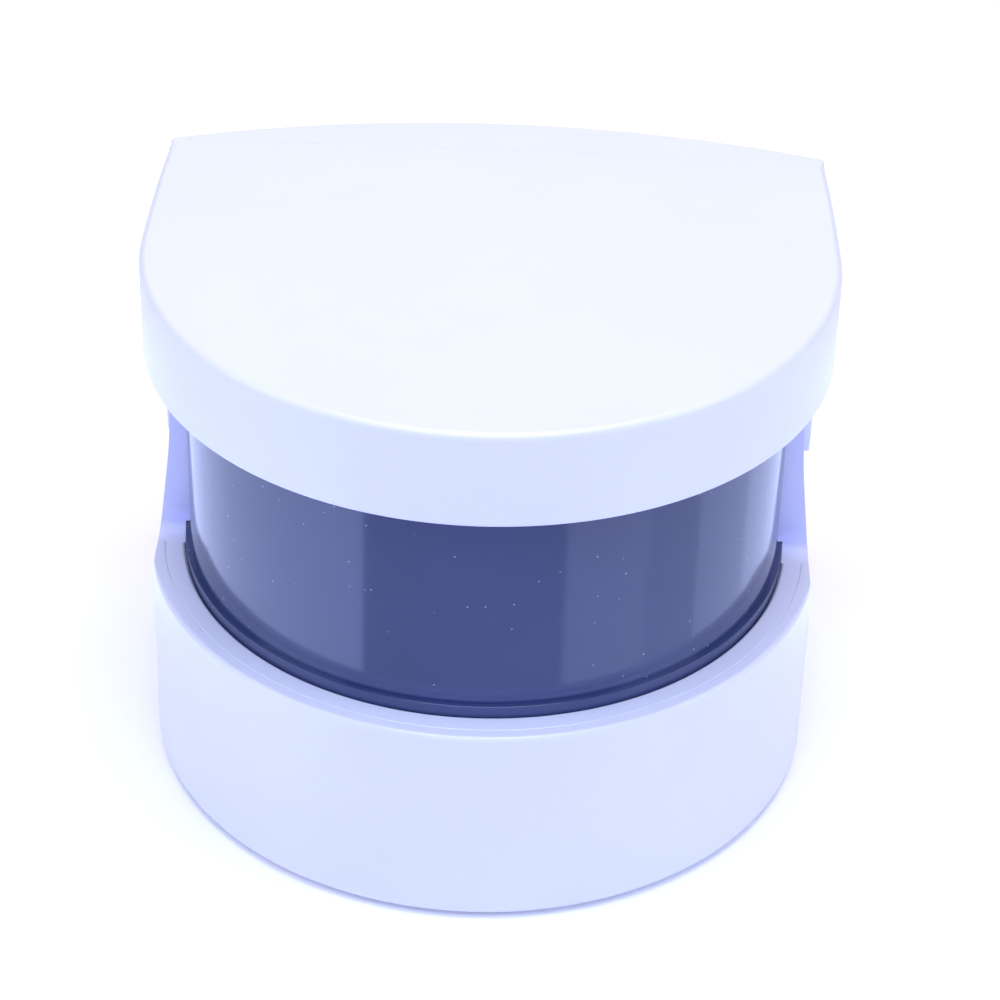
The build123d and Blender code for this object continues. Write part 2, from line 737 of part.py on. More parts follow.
save("base_shell", base_shell())
save("deck_ring", deck_ring())
save("tank_housing", tank_housing())
save("wash_tank", wash_tank())
save("tank_gasket", tank_gasket())
save("transducer_plate", transducer_plate())
save("transducer_disc", transducer_disc())
save("basket", basket())
save("lid_shell", lid_shell())
save("lid_liner", lid_liner())
save("lid_bumpers", lid_bumpers())
save("hinge_pins", hinge_pins())
save("bottom_cover", bottom_cover())
save("battery_door", battery_door())
save("battery_cells", together(battery_cells()))
save("battery_contacts", together(battery_contacts()))
save("case_screws", together(case_screws()))
save("tank_screws", together(small_screws(tank_screw_spots, deck_underside_z, 8.0, True)))
save("board_screws", together(small_screws(board_screw_spots, board_top_z, 3.8, False)))
save("liner_screws", together(small_screws(liner_screw_spots, liner_z, 5.0, True)))
save("rubber_feet", together(rubber_feet()))
save("circuit_board", circuit_board())
save("board_coil", board_coil())
save("board_capacitors", together(board_capacitors()))
save("power_transistor", power_transistor())
save("control_chip", control_chip())
save("lead_sockets", together(lead_sockets()))
save("switch_body", switch_body())
save("switch_plunger", switch_plunger())
save("power_button", power_button())
save("transducer_lead", transducer_lead())
save("battery_lead", battery_lead())
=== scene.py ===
import bpy
from math import atan2, cos, pi, radians, sin, sqrt, tan
from mathutils import Matrix, Vector


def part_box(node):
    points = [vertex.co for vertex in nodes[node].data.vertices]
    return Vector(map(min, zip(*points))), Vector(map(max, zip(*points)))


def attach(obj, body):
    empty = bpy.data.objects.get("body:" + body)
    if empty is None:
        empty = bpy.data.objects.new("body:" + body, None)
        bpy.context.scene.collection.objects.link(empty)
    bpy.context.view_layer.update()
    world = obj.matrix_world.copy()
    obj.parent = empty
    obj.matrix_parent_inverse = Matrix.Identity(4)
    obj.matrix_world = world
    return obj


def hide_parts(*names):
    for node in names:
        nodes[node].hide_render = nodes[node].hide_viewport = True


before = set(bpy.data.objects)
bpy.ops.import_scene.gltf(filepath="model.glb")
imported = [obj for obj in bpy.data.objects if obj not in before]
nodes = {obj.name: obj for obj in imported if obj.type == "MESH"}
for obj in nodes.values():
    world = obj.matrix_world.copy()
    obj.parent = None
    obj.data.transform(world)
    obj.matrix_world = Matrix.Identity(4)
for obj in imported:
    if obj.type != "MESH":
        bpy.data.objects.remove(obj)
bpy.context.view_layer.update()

mm = 0.001

# Camera
# A long lens looks down on the round front, a little off its middle, as the photograph
# was taken. It stands half a metre from the middle of the case's front curve.
case_low, case_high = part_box("base_shell")
front_radius = (case_high.x - case_low.x) / 2
arc_y = case_low.y + front_radius
rear_y = case_high.y
aim = Vector((0, arc_y, 40 * mm))
camera_distance = 496.1 * mm
camera_yaw, camera_height, camera_roll = radians(0.96), radians(33.94), radians(1.49)
back = Vector((sin(camera_yaw) * cos(camera_height), -cos(camera_yaw) * cos(camera_height),
               sin(camera_height)))
level = Vector((cos(camera_yaw), sin(camera_yaw), 0))
upward = back.cross(level)
right_way = level * cos(camera_roll) + upward * sin(camera_roll)
up_way = upward * cos(camera_roll) - level * sin(camera_roll)
bpy.ops.object.select_all(action="DESELECT")
bpy.ops.object.camera_add(location=aim + back * camera_distance)
camera = bpy.context.object
camera.name = "camera"
camera.rotation_euler = Matrix((right_way, up_way, back)).transposed().to_euler()
camera.data.sensor_width = 36
camera.data.lens = 111.9
camera.data.shift_x, camera.data.shift_y = 0.0155, 0.0086
camera.data.clip_start = 0.01
bpy.context.scene.camera = camera
bpy.context.scene.view_settings.view_transform = "Standard"

# Floor
# A seamless white sheet that is lit so brightly that it stays almost pure white, with
# only a trace of shade where the case stands on it.
bpy.ops.mesh.primitive_plane_add(size=6, location=(0, 0, 0))
floor = bpy.context.object
floor.name = "floor"
floor_finish = bpy.data.materials.new("white_sheet")
floor_finish.use_nodes = True
floor_shader = floor_finish.node_tree.nodes["Principled BSDF"]
floor_shader.inputs["Base Color"].default_value = (0.93, 0.93, 0.94, 1)
floor_shader.inputs["Roughness"].default_value = 0.9
floor_shader.inputs["Specular IOR Level"].default_value = 0.1
floor_shader.inputs["Emission Color"].default_value = (1, 1, 1, 1)
floor_shader.inputs["Emission Strength"].default_value = 0.1
floor.data.materials.append(floor_finish)

# Studio light
# A big softbox overhead that burns the lid's top out, a cool one high in front, weak ones
# at the sides, low in front and behind, and a cool sky of fill all round.
world = bpy.data.worlds.new("studio")
bpy.context.scene.world = world
world.use_nodes = True
world.node_tree.nodes["Background"].inputs["Color"].default_value = (0.76, 0.85, 1.0, 1)
world.node_tree.nodes["Background"].inputs["Strength"].default_value = 0.18


def softbox(name, place, size, power, tint):
    """One square soft light that points at the middle of the object."""
    bpy.ops.object.light_add(type="AREA", location=place)
    lamp = bpy.context.object
    lamp.name = name
    lamp.data.shape = "SQUARE"
    lamp.data.size = size
    lamp.data.energy = power
    lamp.data.color = tint
    lamp.rotation_euler = (Vector(place) - aim).to_track_quat("Z", "Y").to_euler()


softbox("top_softbox", (0.05, 0.15, 1.2), size=1.0, power=7.8, tint=(1.0, 0.81, 0.70))
softbox("front_softbox", (0, -0.45, 1.15), size=0.8, power=10.2, tint=(0.62, 0.71, 1.0))
softbox("left_softbox", (-1.0, -0.3, 0.6), size=0.7, power=3.0, tint=(0.88, 0.98, 1.0))
softbox("right_softbox", (1.0, -0.3, 0.6), size=0.7, power=3.0, tint=(0.88, 0.98, 1.0))
softbox("low_softbox", (0, -1.2, 0.35), size=0.5, power=5.5, tint=(0.08, 0.12, 1.0))
softbox("rear_softbox", (0, 1.2, 0.7), size=0.8, power=1.2, tint=(0.90, 0.95, 1.0))

# Lid
# A thick white moulding with a flat top that rolls off a little at the rear, a rounded
# top edge, a hollow underside, and two ears that hang down to the hinge pins.
lid_low, lid_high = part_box("lid_shell")
skirt_z, lid_top_z = 72.5 * mm, lid_high.z
lid_wall, lid_roof, lid_corner = 2 * mm, 3 * mm, 0.8 * mm
lid_drop, lid_drop_run, drop_steps = 0.5 * mm, 26 * mm, 8
top_edge_round, under_edge_round = 1.1 * mm, 0.3 * mm
ear_front_y, ear_bottom_z, ear_inner_x = arc_y + 18 * mm, lid_low.z, 50.3 * mm
pin_low, pin_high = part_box("hinge_pins")
hinge_y, hinge_z = (pin_low.y + pin_high.y) / 2, (pin_low.z + pin_high.z) / 2
pin_radius, pin_clearance = (pin_high.z - pin_low.z) / 2, 0.05 * mm
ear_radius = hinge_z - ear_bottom_z
far = 90 * mm

# How near to a height or a plane still counts as on it, coarsely and finely.
near, hair = 0.1 * mm, 0.01 * mm

# The plan that the lid, the case, the dark housing and the deck share: a round front,
# long sides that close in a little, and a bowed rear.
side_run, corner_drawn_in, rear_bulge = 32.5 * mm, 0.9 * mm, 9.4 * mm
side_radius = (corner_drawn_in ** 2 + side_run ** 2) / (2 * corner_drawn_in)
corner_half_width = front_radius - corner_drawn_in
rear_radius = (corner_half_width ** 2 + rear_bulge ** 2) / (2 * rear_bulge)
round_steps, side_steps, corner_steps, rear_steps = 96, 12, 8, 40


def nothing_chosen():
    """Object mode with nothing selected."""
    if bpy.context.object and bpy.context.object.mode == "EDIT":
        bpy.ops.object.mode_set(mode="OBJECT")
    bpy.ops.object.select_all(action="DESELECT")


def take_up(piece):
    """Make one piece the only one selected, in object mode."""
    nothing_chosen()
    piece.select_set(True)
    bpy.context.view_layer.objects.active = piece


def pick(kind, test, sharp=False):
    """Select the vertices, edges or faces of the piece in hand whose place passes a test."""
    bpy.ops.object.mode_set(mode="EDIT")
    bpy.ops.mesh.select_mode(type=kind)
    bpy.ops.mesh.select_all(action="DESELECT")
    if sharp:
        bpy.ops.mesh.edges_select_sharp(sharpness=radians(28))
    bpy.ops.object.mode_set(mode="OBJECT")
    mesh = bpy.context.object.data
    if kind == "VERT":
        for vertex in mesh.vertices:
            vertex.select = test(vertex.co)
    elif kind == "EDGE":
        for edge in mesh.edges:
            ends = [mesh.vertices[index].co for index in edge.vertices]
            edge.select = (edge.select or not sharp) and test(*ends)
    else:
        for face in mesh.polygons:
            face.select = test(face.center, face.normal)
    bpy.ops.object.mode_set(mode="EDIT")


def pick_all():
    """Select the whole of the piece in hand."""
    bpy.ops.object.mode_set(mode="EDIT")
    bpy.ops.mesh.select_all(action="SELECT")


def rear_corner(inset):
    """Where a side arc meets the rear arc, both drawn in by inset."""
    side_middle = Vector((front_radius - side_radius, arc_y))
    between = Vector((0, rear_y - rear_radius)) - side_middle
    along = between.length ** 2 + (side_radius - inset) ** 2 - (rear_radius - inset) ** 2
    along /= 2 * between.length
    across = sqrt((side_radius - inset) ** 2 - along ** 2)
    onward = between.normalized()
    return side_middle + onward * along + Vector((-onward.y, onward.x)) * across


def draw_plan(name, inset, z, corner=0.0):
    """A flat face in the plan's shape, left selected in edit mode."""
    nothing_chosen()
    bpy.ops.mesh.primitive_circle_add(vertices=2 * round_steps, radius=front_radius - inset,
                                      location=(0, arc_y, z))
    piece = bpy.context.object
    piece.name = name
    bpy.ops.object.transform_apply(location=True, rotation=True, scale=True)
    pick("VERT", lambda v: v.y > arc_y + hair)
    bpy.ops.mesh.delete(type="VERT")
    pick("VERT", lambda v: v.x > 0 and v.y > arc_y - hair)
    side_x, rear_middle_y = front_radius - side_radius, rear_y - rear_radius
    round_middle = rear_corner(inset + corner)
    side_turn = atan2(round_middle.y - arc_y, round_middle.x - side_x)
    rear_turn = atan2(round_middle.y - rear_middle_y, round_middle.x)
    for steps, turn, x, y in ((side_steps, side_turn, side_x, arc_y),
                              (corner_steps, rear_turn - side_turn, *round_middle),
                              (rear_steps, pi - 2 * rear_turn, 0, rear_middle_y),
                              (corner_steps, rear_turn - side_turn, -round_middle.x,
                               round_middle.y),
                              (side_steps, side_turn, -side_x, arc_y)):
        bpy.ops.mesh.spin(steps=steps, angle=-turn, axis=(0, 0, 1), center=(x, y, z))
    bpy.ops.mesh.select_all(action="SELECT")
    bpy.ops.mesh.remove_doubles(threshold=hair)
    bpy.ops.mesh.edge_face_add()
    return piece


def raise_by(height):
    """Extrude what is selected straight up, or down where the height is negative."""
    bpy.ops.mesh.extrude_region_move(TRANSFORM_OT_translate={"value": (0, 0, height)})


def face_outward():
    """Turn all faces of the piece in hand outward."""
    pick_all()
    bpy.ops.mesh.normals_make_consistent(inside=False)


def upright(name, inset, low_z, high_z, corner=0.0):
    """A closed upright block in the plan's shape, in object mode."""
    piece = draw_plan(name, inset, low_z, corner)
    raise_by(high_z - low_z)
    face_outward()
    bpy.ops.object.mode_set(mode="OBJECT")
    return piece


def block(name, low, high):
    """A rectangular block between two corners, in object mode."""
    low, high = Vector(low), Vector(high)
    nothing_chosen()
    bpy.ops.mesh.primitive_cube_add(size=1, location=(low + high) / 2)
    piece = bpy.context.object
    piece.name = name
    piece.scale = high - low
    bpy.ops.object.transform_apply(location=True, rotation=True, scale=True)
    return piece


def rod(name, radius, start, end, sides=64):
    """A round rod between two points, in object mode."""
    start, end = Vector(start), Vector(end)
    nothing_chosen()
    bpy.ops.mesh.primitive_cylinder_add(vertices=sides, radius=radius, depth=(end - start).length,
                                        location=(start + end) / 2)
    piece = bpy.context.object
    piece.name = name
    piece.rotation_euler = (end - start).to_track_quat("Z", "Y").to_euler()
    bpy.ops.object.transform_apply(location=True, rotation=True, scale=True)
    return piece


def use_modifier(piece, kind, **settings):
    """Add one modifier with these settings and apply it."""
    take_up(piece)
    modifier = piece.modifiers.new(kind.lower(), kind)
    for key, value in settings.items():
        setattr(modifier, key, value)
    bpy.ops.object.modifier_apply(modifier=modifier.name)


def cut(piece, *cutters):
    """Take the cutters' shapes out of the piece and throw the cutters away."""
    for cutter in cutters:
        use_modifier(piece, "BOOLEAN", operation="DIFFERENCE", solver="EXACT", object=cutter)
        bpy.data.objects.remove(cutter)


def soften(piece, width, test):
    """Clean the piece's mesh and round its sharp edges that pass a test."""
    take_up(piece)
    pick_all()
    bpy.ops.mesh.remove_doubles(threshold=hair / 2)
    pick("EDGE", test, sharp=True)
    bpy.ops.mesh.bevel(offset=width, segments=3, profile=0.5, clamp_overlap=False)
    bpy.ops.object.mode_set(mode="OBJECT")


def both_sides(low_x, high_x):
    """The two ranges of X, right and left, that mirror each other."""
    return (low_x, high_x), (-high_x, -low_x)


def place(tree, kind, feeds, **settings):
    """A shader node with its settings, and its inputs set or fed."""
    node = tree.nodes.new(kind)
    for key, value in settings.items():
        setattr(node, key, value)
    for key, value in feeds.items():
        if isinstance(value, bpy.types.NodeSocket):
            tree.links.new(value, node.inputs[key])
        else:
            node.inputs[key].default_value = value
    return node


def new_effect(name, inputs, output):
    """An empty node group with number or colour inputs and one output."""
    group = bpy.data.node_groups.new(name, "ShaderNodeTree")
    for label, kind, value in inputs:
        group.interface.new_socket(label, in_out="INPUT", socket_type=kind).default_value = value
    group.interface.new_socket(output[0], in_out="OUTPUT", socket_type=output[1])
    enter = group.nodes.new("NodeGroupInput").outputs
    return group, enter, group.nodes.new("NodeGroupOutput").inputs[0]


def grain_effect():
    """Fine texture left in a surface by its mould or its rolling, as a normal."""
    group, enter, leave = new_effect("surface_grain", (("Fineness", "NodeSocketFloat", 2500),
                                     ("Depth", "NodeSocketFloat", 0.00002)),
                                     ("Normal", "NodeSocketVector"))
    spot = place(group, "ShaderNodeTexCoord", {}).outputs["Object"]
    fine = place(group, "ShaderNodeTexNoise", {"Vector": spot, "Scale": enter["Fineness"],
                                               "Detail": 3, "Roughness": 0.6})
    broad = place(group, "ShaderNodeTexNoise", {"Vector": spot, "Scale": 35, "Detail": 1})
    height = place(group, "ShaderNodeMath", {0: broad.outputs["Fac"], 1: 2.5,
                                             2: fine.outputs["Fac"]}, operation="MULTIPLY_ADD")
    bump = place(group, "ShaderNodeBump", {"Strength": 1.0, "Distance": enter["Depth"],
                                           "Height": height.outputs["Value"]})
    group.links.new(bump.outputs["Normal"], leave)
    return group


def drift_effect():
    """Slow change of a colour over a surface, as pigment and handling leave it."""
    group, enter, leave = new_effect("tone_drift", (("Colour", "NodeSocketColor", (1, 1, 1, 1)),
                                     ("Amount", "NodeSocketFloat", 0.06),
                                     ("Fineness", "NodeSocketFloat", 40)),
                                     ("Colour", "NodeSocketColor"))
    spot = place(group, "ShaderNodeTexCoord", {}).outputs["Object"]
    noise = place(group, "ShaderNodeTexNoise", {"Vector": spot, "Scale": enter["Fineness"],
                                                "Detail": 4, "Roughness": 0.55})
    low = place(group, "ShaderNodeMath", {0: 1.0, 1: enter["Amount"]}, operation="SUBTRACT")
    shade = place(group, "ShaderNodeMapRange", {"Value": noise.outputs["Fac"], "From Min": 0.3,
                                                "From Max": 0.7, "To Min": low.outputs["Value"],
                                                "To Max": 1.0})
    mixed = place(group, "ShaderNodeVectorMath",
                  {0: enter["Colour"], "Scale": shade.outputs["Result"]}, operation="SCALE")
    group.links.new(mixed.outputs["Vector"], leave)
    return group


def handling_effect():
    """Roughness that varies a little where a surface was wiped and touched."""
    group, enter, leave = new_effect("handling", (("Roughness", "NodeSocketFloat", 0.4),
                                     ("Spread", "NodeSocketFloat", 0.06)),
                                     ("Roughness", "NodeSocketFloat"))
    spot = place(group, "ShaderNodeTexCoord", {}).outputs["Object"]
    noise = place(group, "ShaderNodeTexNoise", {"Vector": spot, "Scale": 75, "Detail": 5,
                                                "Roughness": 0.65, "Distortion": 0.4})
    high = place(group, "ShaderNodeMath", {0: enter["Roughness"], 1: enter["Spread"]},
                 operation="ADD")
    value = place(group, "ShaderNodeMapRange", {"Value": noise.outputs["Fac"], "From Min": 0.35,
                                                "From Max": 0.7, "To Min": enter["Roughness"],
                                                "To Max": high.outputs["Value"]})
    group.links.new(value.outputs["Result"], leave)
    return group


grain, drift, handling = grain_effect(), drift_effect(), handling_effect()


def new_finish(name, colour, roughness, spread=0.06, fineness=2500, depth=0.00001, amount=0.05,
               tone_fineness=40, **plain):
    """A finish with drifting tone, varied roughness and surface grain; returns the material."""
    finish = bpy.data.materials.new(name)
    finish.use_nodes = True
    tree = finish.node_tree
    shader = tree.nodes["Principled BSDF"]
    for label, value in plain.items():
        shader.inputs[label.replace("_", " ")].default_value = value
    tone = place(tree, "ShaderNodeGroup", {"Colour": (*colour, 1), "Amount": amount,
                                           "Fineness": tone_fineness}, node_tree=drift)
    touch = place(tree, "ShaderNodeGroup", {"Roughness": roughness, "Spread": spread},
                  node_tree=handling)
    skin = place(tree, "ShaderNodeGroup", {"Fineness": fineness, "Depth": depth}, node_tree=grain)
    tree.links.new(tone.outputs[0], shader.inputs["Base Color"])
    tree.links.new(touch.outputs[0], shader.inputs["Roughness"])
    tree.links.new(skin.outputs[0], shader.inputs["Normal"])
    return finish


def finish_piece(piece, body, slot, finish, *replaced):
    """Smooth the curved faces, give the piece its finish and put it on its body."""
    take_up(piece)
    bpy.ops.object.shade_smooth_by_angle(angle=radians(32))
    use_modifier(piece, "WEIGHTED_NORMAL", keep_sharp=True)
    piece.data.materials.clear()
    piece.data.materials.append(finish)
    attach(piece, body)
    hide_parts(*replaced)


def finish_nodes(finish, *names):
    """Give CAD nodes their finish."""
    for name in names:
        nodes[name].data.materials.clear()
        nodes[name].data.materials.append(finish)


white_shell = new_finish("white_shell", (0.78, 0.81, 0.93), 0.3, fineness=3200, depth=0.000006,
                         amount=0.025, Coat_Weight=0.15, Coat_Roughness=0.25)

lid = upright("lid_cover", 0, ear_bottom_z, lid_top_z, lid_corner)
drop_start_y = rear_y - lid_drop_run
for step in range(drop_steps):
    pick("FACE", lambda middle, normal: normal.z > 0.9)
    bpy.ops.mesh.bisect(plane_co=(0, drop_start_y + lid_drop_run * step / drop_steps, 0),
                        plane_no=(0, 1, 0))
bpy.ops.object.mode_set(mode="OBJECT")
for vertex in lid.data.vertices:
    if vertex.co.z > lid_top_z - near and vertex.co.y > drop_start_y:
        vertex.co.z -= lid_drop * ((vertex.co.y - drop_start_y) / lid_drop_run) ** 2

# The top's edge is rounded along its round front and its sides, and stays crisp behind.
top_edge_z, round_end_y, longest_edge = lid_top_z - 0.7 * mm, arc_y + side_run - 1 * mm, 4 * mm
pick("EDGE", lambda a, b: min(a.z, b.z) > top_edge_z and max(a.y, b.y) < round_end_y
     and (a - b).length < longest_edge)
bpy.ops.mesh.bevel(offset=top_edge_round, segments=6, profile=0.5)

# Below the skirt only the ears stay, rounded about the pins at their lower rear.
cut(lid, block("front_waste", (-far, -far, 0), (far, ear_front_y, skirt_z)))
cut(lid, block("middle_waste", (-ear_inner_x, -far, 0), (ear_inner_x, far, skirt_z)))
heel = block("heel_waste", (-far, hinge_y, 0), (far, far, hinge_z))
past_far = 1.1 * far
cut(heel, rod("ear_round", ear_radius, (-past_far, hinge_y, hinge_z),
              (past_far, hinge_y, hinge_z), 96))
cut(lid, heel)
lid_room_z = lid_top_z - lid_roof
lid_room = upright("lid_room", lid_wall, skirt_z - 1 * mm, lid_room_z)
for low_x, high_x in both_sides(ear_inner_x, far):
    cut(lid_room, block("ear_stay", (low_x, ear_front_y, 0), (high_x, far, far)))
cut(lid, lid_room)
bore_end_clearance = 0.3 * mm
bore_end = pin_high.x + bore_end_clearance
cut(lid, rod("ear_bores", pin_radius + pin_clearance, (-bore_end, hinge_y, hinge_z),
             (bore_end, hinge_y, hinge_z)))
soften(lid, under_edge_round,
       lambda a, b: max(a.z, b.z) < skirt_z + near or min(a.z, b.z) > lid_room_z)
finish_piece(lid, "lid", "white_shell", white_shell, "lid_shell")

# Base shell
# The white lower case: a tall round front wall with a rounded rim, and a raised back
# whose sides lean inward and whose front edges are the two arms beside the housing.
wall, shell_corner, foot_edge = 2 * mm, 1.5 * mm, 1.4 * mm
rim_z, back_top_z = 35 * mm, case_high.z
arm_y, arm_foot_radius, arm_crest_radius = arc_y - 1 * mm, 4 * mm, 2.5 * mm
base = upright("case_shell", 0, case_low.z, back_top_z, shell_corner)
pick("EDGE", lambda a, b: max(a.z, b.z) < case_low.z + near)
bpy.ops.mesh.bevel(offset=foot_edge, segments=5, profile=0.5)

# Above the foot of the wall both sides bend in, run straight, and bend upright again.
lean_low_z, lean_high_z, waist_x, lean_blend = 25 * mm, 53 * mm, 49.7 * mm, 90 * mm
lean_angle = atan2(front_radius - waist_x, lean_high_z - lean_low_z)
blend_run = lean_blend * tan(lean_angle / 2)


def half_width(z):
    """How far the leaning side stands from the middle plane at a height."""
    low_bend, high_bend = lean_low_z - blend_run, lean_high_z + blend_run
    if z < low_bend:
        return front_radius
    if z < low_bend + lean_blend * sin(lean_angle):
        return front_radius - lean_blend + sqrt(lean_blend ** 2 - (z - low_bend) ** 2)
    if z < high_bend - lean_blend * sin(lean_angle):
        return front_radius - (z - lean_low_z) * tan(lean_angle)
    if z < high_bend:
        return waist_x + lean_blend - sqrt(lean_blend ** 2 - (high_bend - z) ** 2)
    return waist_x


bend_bottom, bend_top, bend_step = 18, 62, 2
for height in range(bend_bottom, bend_top, bend_step):
    pick_all()
    bpy.ops.mesh.bisect(plane_co=(0, 0, height * mm), plane_no=(0, 0, 1))
bpy.ops.object.mode_set(mode="OBJECT")
for vertex in base.data.vertices:
    limit = half_width(vertex.co.z)
    vertex.co.x = max(-limit, min(limit, vertex.co.x))

# Where the bend twists a face it is no longer flat, and the cuts below need flat ones.
pick("FACE", lambda middle, normal: abs(normal.z) < 0.9)
bpy.ops.mesh.quads_convert_to_tris()

# The front stops at the rim, with a round foot and a round crest on each arm.
front_waste = block("front_waste", (-far, -far, rim_z), (far, arm_y, far))
pick("EDGE", lambda a, b: min(a.y, b.y) > arm_y - hair and max(a.z, b.z) < rim_z + hair)
bpy.ops.mesh.bevel(offset=arm_foot_radius, segments=10, profile=0.5)
cut(base, front_waste)
crest_y, crest_z, outside = arm_y + arm_crest_radius, back_top_z - arm_crest_radius, 1 * mm
crest_waste = block("crest_waste", (-far, arm_y - outside, crest_z),
                    (far, crest_y, back_top_z + outside))
cut(crest_waste, rod("crest_round", arm_crest_radius, (-past_far, crest_y, crest_z),
                     (past_far, crest_y, crest_z), 48))
cut(base, crest_waste)

# Inside it is open for the board and the battery box, and above them for the housing.
housing_inset, housing_corner, flange_reach = 6.2 * mm, 5 * mm, 0.8 * mm
body_gap, room_step = 0.1 * mm, 0.02 * mm
deck_top_z, notch_z, shelf_z = 34 * mm, 36.8 * mm, 37.6 * mm
arm_foot_y = arm_y - arm_foot_radius
web_height, web_gap, room_lap, rear_room_y = 0.9 * mm, 0.05 * mm, 2 * mm, arm_y + 3 * mm


def part_room(name, low_z, high_z, at_y, way):
    """The case's room between two heights, kept only on one side of a plane across it."""
    room = upright(name, wall + room_step, low_z, high_z)
    pick_all()
    bpy.ops.mesh.bisect(plane_co=(0, at_y, 0), plane_no=(0, way, 0), clear_outer=True,
                        use_fill=True)
    bpy.ops.object.mode_set(mode="OBJECT")
    return room


cut(base, upright("low_room", wall, -5 * mm, rim_z - web_height))
cut(base, part_room("front_room", rim_z - room_lap, rim_z + outside, arm_foot_y - web_gap, 1))
cut(base, part_room("rear_room", rim_z - room_lap, shelf_z, rear_room_y, -1))
cut(base, upright("housing_room", housing_inset - body_gap, deck_top_z, far,
                  housing_corner + body_gap))
cut(base, upright("notch", housing_inset - flange_reach - body_gap, deck_top_z, notch_z))
pocket_x, pocket_z, pocket_front_y = 49.9 * mm, 39.6 * mm, arc_y + 13.6 * mm
for low_x, high_x in both_sides(pocket_x, far):
    cut(base, block("ear_pocket", (low_x, pocket_front_y, pocket_z), (high_x, far, far)))
button_low, button_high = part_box("power_button")
switch_z = (button_low.z + button_high.z) / 2
button_radius, button_clearance, past_wall = 5.4 * mm, 0.15 * mm, 6 * mm
cut(base, rod("button_hole", button_radius + button_clearance, (0, rear_y - past_wall, switch_z),
              (0, rear_y + past_wall, switch_z)))

# A quarter-round tool runs along the rim's outer edge and lifts off it near the arms. Its
# curve is cut a hair too wide, so that it crosses the wall and doesn't only touch it.
rim_round, rim_overcut, lift_from_y = 0.9 * mm, 0.04 * mm, arm_foot_y - 16 * mm


def sweep_front(piece, *corners):
    """Round corners of a block's rear face, and sweep that face along the case's round front."""
    take_up(piece)
    pick("FACE", lambda middle, normal: normal.y < 0.5)
    bpy.ops.mesh.delete(type="FACE")
    for x, z, size in corners:
        pick("VERT", lambda v: abs(v.x - x) < hair and abs(v.z - z) < hair)
        bpy.ops.mesh.bevel(affect="VERTICES", offset=size, segments=5)
    pick_all()
    bpy.ops.mesh.spin(steps=round_steps, angle=pi, axis=(0, 0, 1), center=(0, arc_y, 0))
    face_outward()
    bpy.ops.object.mode_set(mode="OBJECT")


curve_x, curve_z = front_radius - rim_round, rim_z - rim_round
rim_tool = block("rim_tool", (curve_x, arc_y - outside, curve_z),
                 (front_radius + outside, arc_y, rim_z + outside))
cut(rim_tool, rod("rim_curve", rim_round + rim_overcut, (curve_x, arc_y - 2 * outside, curve_z),
                  (curve_x, arc_y + outside, curve_z), 48))
sweep_front(rim_tool)
for vertex in rim_tool.data.vertices:
    share = max(0, (vertex.co.y - lift_from_y) / (arm_foot_y - lift_from_y))
    vertex.co.z += rim_round * share ** 2
cut(base, rim_tool)
finish_piece(base, "case", "white_shell", white_shell, "base_shell")

# Tank housing
# The dark polished band that carries the tank: one deep moulding with a stepped foot
# flange, a rounded top edge and a round mouth with a seat for the tank's lip.
housing_top_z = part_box("tank_housing")[1].z
flange_height, housing_wall, housing_roof = 2.7 * mm, 1.8 * mm, 3.4 * mm
flange_z = deck_top_z + flange_height
housing_edge, flange_edge = 1 * mm, 0.15 * mm
mouth_clearance, seat_clearance, gasket_height = 0.4 * mm, 0.15 * mm, 0.8 * mm
tank_low, tank_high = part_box("wash_tank")
lip_radius, tank_radius, tank_sheet = tank_high.x, 36.5 * mm, 0.6 * mm
housing = upright("dark_housing", housing_inset, deck_top_z, housing_top_z, housing_corner)
pick("EDGE", lambda a, b: min(a.z, b.z) > housing_top_z - near)
bpy.ops.mesh.bevel(offset=housing_edge, segments=5, profile=0.5)
flange = upright("flange", housing_inset - flange_reach, deck_top_z, flange_z, housing_corner)
pick("EDGE", lambda a, b: min(a.z, b.z) > flange_z - near)
bpy.ops.mesh.bevel(offset=flange_edge, segments=3, profile=0.5)
use_modifier(housing, "BOOLEAN", operation="UNION", solver="EXACT", object=flange)
bpy.data.objects.remove(flange)
cut(housing, upright("housing_room", housing_inset + housing_wall, 0, housing_top_z - housing_roof,
                     housing_corner - housing_wall))
cut(housing, rod("tank_mouth", tank_radius + tank_sheet + mouth_clearance, (0, 0, 0),
                 (0, 0, far), 128))
seat_z = housing_top_z - tank_sheet - gasket_height
cut(housing, rod("lip_seat", lip_radius + seat_clearance, (0, 0, seat_z), (0, 0, far), 128))


def speck_effect():
    """Sparse dust that has settled on a polished surface, as a mask."""
    group, enter, leave = new_effect("dust_specks", (("Fineness", "NodeSocketFloat", 260),
                                     ("Size", "NodeSocketFloat", 0.12),
                                     ("Share", "NodeSocketFloat", 0.1)),
                                     ("Mask", "NodeSocketFloat"))
    spot = place(group, "ShaderNodeTexCoord", {}).outputs["Object"]
    cells = place(group, "ShaderNodeTexVoronoi", {"Vector": spot, "Scale": enter["Fineness"]})
    inside = place(group, "ShaderNodeMath", {0: cells.outputs["Distance"], 1: enter["Size"]},
                   operation="LESS_THAN")
    picked = place(group, "ShaderNodeSeparateColor", {"Color": cells.outputs["Color"]})
    kept = place(group, "ShaderNodeMath", {0: picked.outputs["Red"], 1: enter["Share"]},
                 operation="LESS_THAN")
    mask = place(group, "ShaderNodeMath", {0: inside.outputs["Value"], 1: kept.outputs["Value"]},
                 operation="MULTIPLY")
    group.links.new(mask.outputs["Value"], leave)
    return group


specks = speck_effect()


